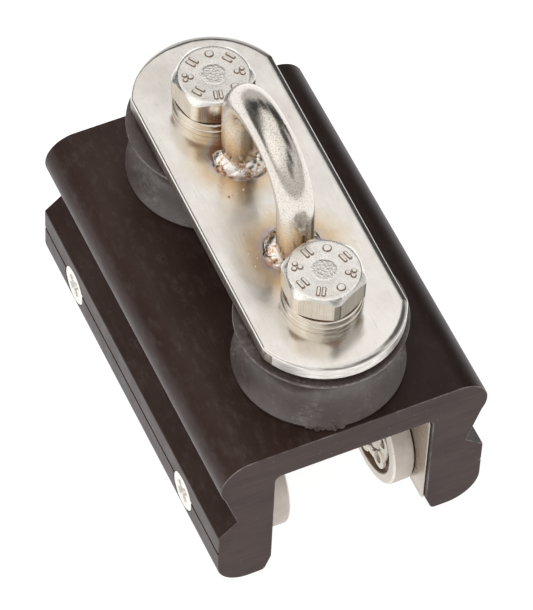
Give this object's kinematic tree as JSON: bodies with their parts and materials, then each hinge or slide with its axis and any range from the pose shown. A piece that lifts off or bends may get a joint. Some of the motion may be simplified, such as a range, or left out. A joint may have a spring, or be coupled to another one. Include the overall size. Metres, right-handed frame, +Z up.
{
  "type": "sheet traveller car with sheaves",
  "caption": "Channel-shaped traveller car on ball-bearing track wheels, with control-line sheaves clamped under a stainless plate that carries a welded wire eye.",
  "frame": {"origin": "middle of the car's length and width, on the surface that the wheels stand on", "axes": "+X along the track towards the front sheave, +Y to the left wall, +Z up through the top plate"},
  "size_m": [0.076, 0.05, 0.0772],
  "materials": {
    "anodised_aluminium": "satin black anodised, saw-cut ends",
    "plate_stainless": "cloudy polish with a bright rounded edge",
    "eye_stainless": "polished, finely pitted stainless",
    "weld_metal": "rippled weld with straw and brown heat tint",
    "bolt_stainless": "light satin stainless",
    "washer_stainless": "bright, slightly golden",
    "strip_stainless": "bright rolled sheet",
    "sheave_plastic": "black moulded plastic, scuffed",
    "wheel_acetal": "off-white machined acetal",
    "cage_plastic": "cream moulded plastic",
    "ball_steel": "mirror-bright steel"
  },
  "bodies": {
    "car": {"car_body": "anodised_aluminium", "top_plate": "plate_stainless", "eye_bow": "eye_stainless", "eye_weld_front": "weld_metal", "hex_bolt_front": "bolt_stainless", "lock_washer_front": "washer_stainless", "flat_washer_front": "washer_stainless", "sheave_bush_front": "bolt_stainless", "eye_weld_rear": "weld_metal", "hex_bolt_rear": "bolt_stainless", "lock_washer_rear": "washer_stainless", "flat_washer_rear": "washer_stainless", "sheave_bush_rear": "bolt_stainless", "channel_strip_left": "strip_stainless", "channel_strip_right": "strip_stainless", "wheel_hub_front_left": "bolt_stainless", "axle_screw_front_left": "bolt_stainless", "wheel_hub_front_right": "bolt_stainless", "axle_screw_front_right": "bolt_stainless", "wheel_hub_rear_left": "bolt_stainless", "axle_screw_rear_left": "bolt_stainless", "wheel_hub_rear_right": "bolt_stainless", "axle_screw_rear_right": "bolt_stainless"},
    "sheave_front": {"sheave_front": "sheave_plastic"},
    "sheave_rear": {"sheave_rear": "sheave_plastic"},
    "wheel_front_left": {"wheel_tyre_front_left": "wheel_acetal"},
    "bearing_front_left": {"ball_cage_front_left": "cage_plastic", "ball_front_left_1": "ball_steel", "ball_front_left_2": "ball_steel", "ball_front_left_3": "ball_steel", "ball_front_left_4": "ball_steel", "ball_front_left_5": "ball_steel", "ball_front_left_6": "ball_steel"},
    "wheel_front_right": {"wheel_tyre_front_right": "wheel_acetal"},
    "bearing_front_right": {"ball_cage_front_right": "cage_plastic", "ball_front_right_1": "ball_steel", "ball_front_right_2": "ball_steel", "ball_front_right_3": "ball_steel", "ball_front_right_4": "ball_steel", "ball_front_right_5": "ball_steel", "ball_front_right_6": "ball_steel"},
    "wheel_rear_left": {"wheel_tyre_rear_left": "wheel_acetal"},
    "bearing_rear_left": {"ball_cage_rear_left": "cage_plastic", "ball_rear_left_1": "ball_steel", "ball_rear_left_2": "ball_steel", "ball_rear_left_3": "ball_steel", "ball_rear_left_4": "ball_steel", "ball_rear_left_5": "ball_steel", "ball_rear_left_6": "ball_steel"},
    "wheel_rear_right": {"wheel_tyre_rear_right": "wheel_acetal"},
    "bearing_rear_right": {"ball_cage_rear_right": "cage_plastic", "ball_rear_right_1": "ball_steel", "ball_rear_right_2": "ball_steel", "ball_rear_right_3": "ball_steel", "ball_rear_right_4": "ball_steel", "ball_rear_right_5": "ball_steel", "ball_rear_right_6": "ball_steel"}
  },
  "joints": [
    {"name": "sheave_front_spin", "type": "hinge", "parent": "car", "child": "sheave_front", "pos_m": [0.02244, 0, 0.0428], "axis": [0, 0, 1], "continuous": true},
    {"name": "sheave_rear_spin", "type": "hinge", "parent": "car", "child": "sheave_rear", "pos_m": [-0.02244, 0, 0.0428], "axis": [0, 0, 1], "continuous": true},
    {"name": "wheel_front_left_roll", "type": "hinge", "parent": "car", "child": "wheel_front_left", "pos_m": [0.0229, 0.01225, 0.0111], "axis": [0, 1, 0], "continuous": true},
    {"name": "bearing_front_left_roll", "type": "hinge", "parent": "car", "child": "bearing_front_left", "pos_m": [0.0229, 0.01225, 0.0111], "axis": [0, 1, 0], "continuous": true},
    {"name": "wheel_front_right_roll", "type": "hinge", "parent": "car", "child": "wheel_front_right", "pos_m": [0.0229, -0.01145, 0.0111], "axis": [0, 1, 0], "continuous": true},
    {"name": "bearing_front_right_roll", "type": "hinge", "parent": "car", "child": "bearing_front_right", "pos_m": [0.0229, -0.01145, 0.0111], "axis": [0, 1, 0], "continuous": true},
    {"name": "wheel_rear_left_roll", "type": "hinge", "parent": "car", "child": "wheel_rear_left", "pos_m": [-0.0248, 0.01225, 0.0111], "axis": [0, 1, 0], "continuous": true},
    {"name": "bearing_rear_left_roll", "type": "hinge", "parent": "car", "child": "bearing_rear_left", "pos_m": [-0.0248, 0.01225, 0.0111], "axis": [0, 1, 0], "continuous": true},
    {"name": "wheel_rear_right_roll", "type": "hinge", "parent": "car", "child": "wheel_rear_right", "pos_m": [-0.0248, -0.01145, 0.0111], "axis": [0, 1, 0], "continuous": true},
    {"name": "bearing_rear_right_roll", "type": "hinge", "parent": "car", "child": "bearing_rear_right", "pos_m": [-0.0248, -0.01145, 0.0111], "axis": [0, 1, 0], "continuous": true}
  ],
  "couplings": [
    {"joint": "bearing_front_left_roll", "follows": "wheel_front_left_roll", "ratio": 0.615},
    {"joint": "bearing_front_right_roll", "follows": "wheel_front_right_roll", "ratio": 0.615},
    {"joint": "bearing_rear_left_roll", "follows": "wheel_rear_left_roll", "ratio": 0.615},
    {"joint": "bearing_rear_right_roll", "follows": "wheel_rear_right_roll", "ratio": 0.615}
  ]
}
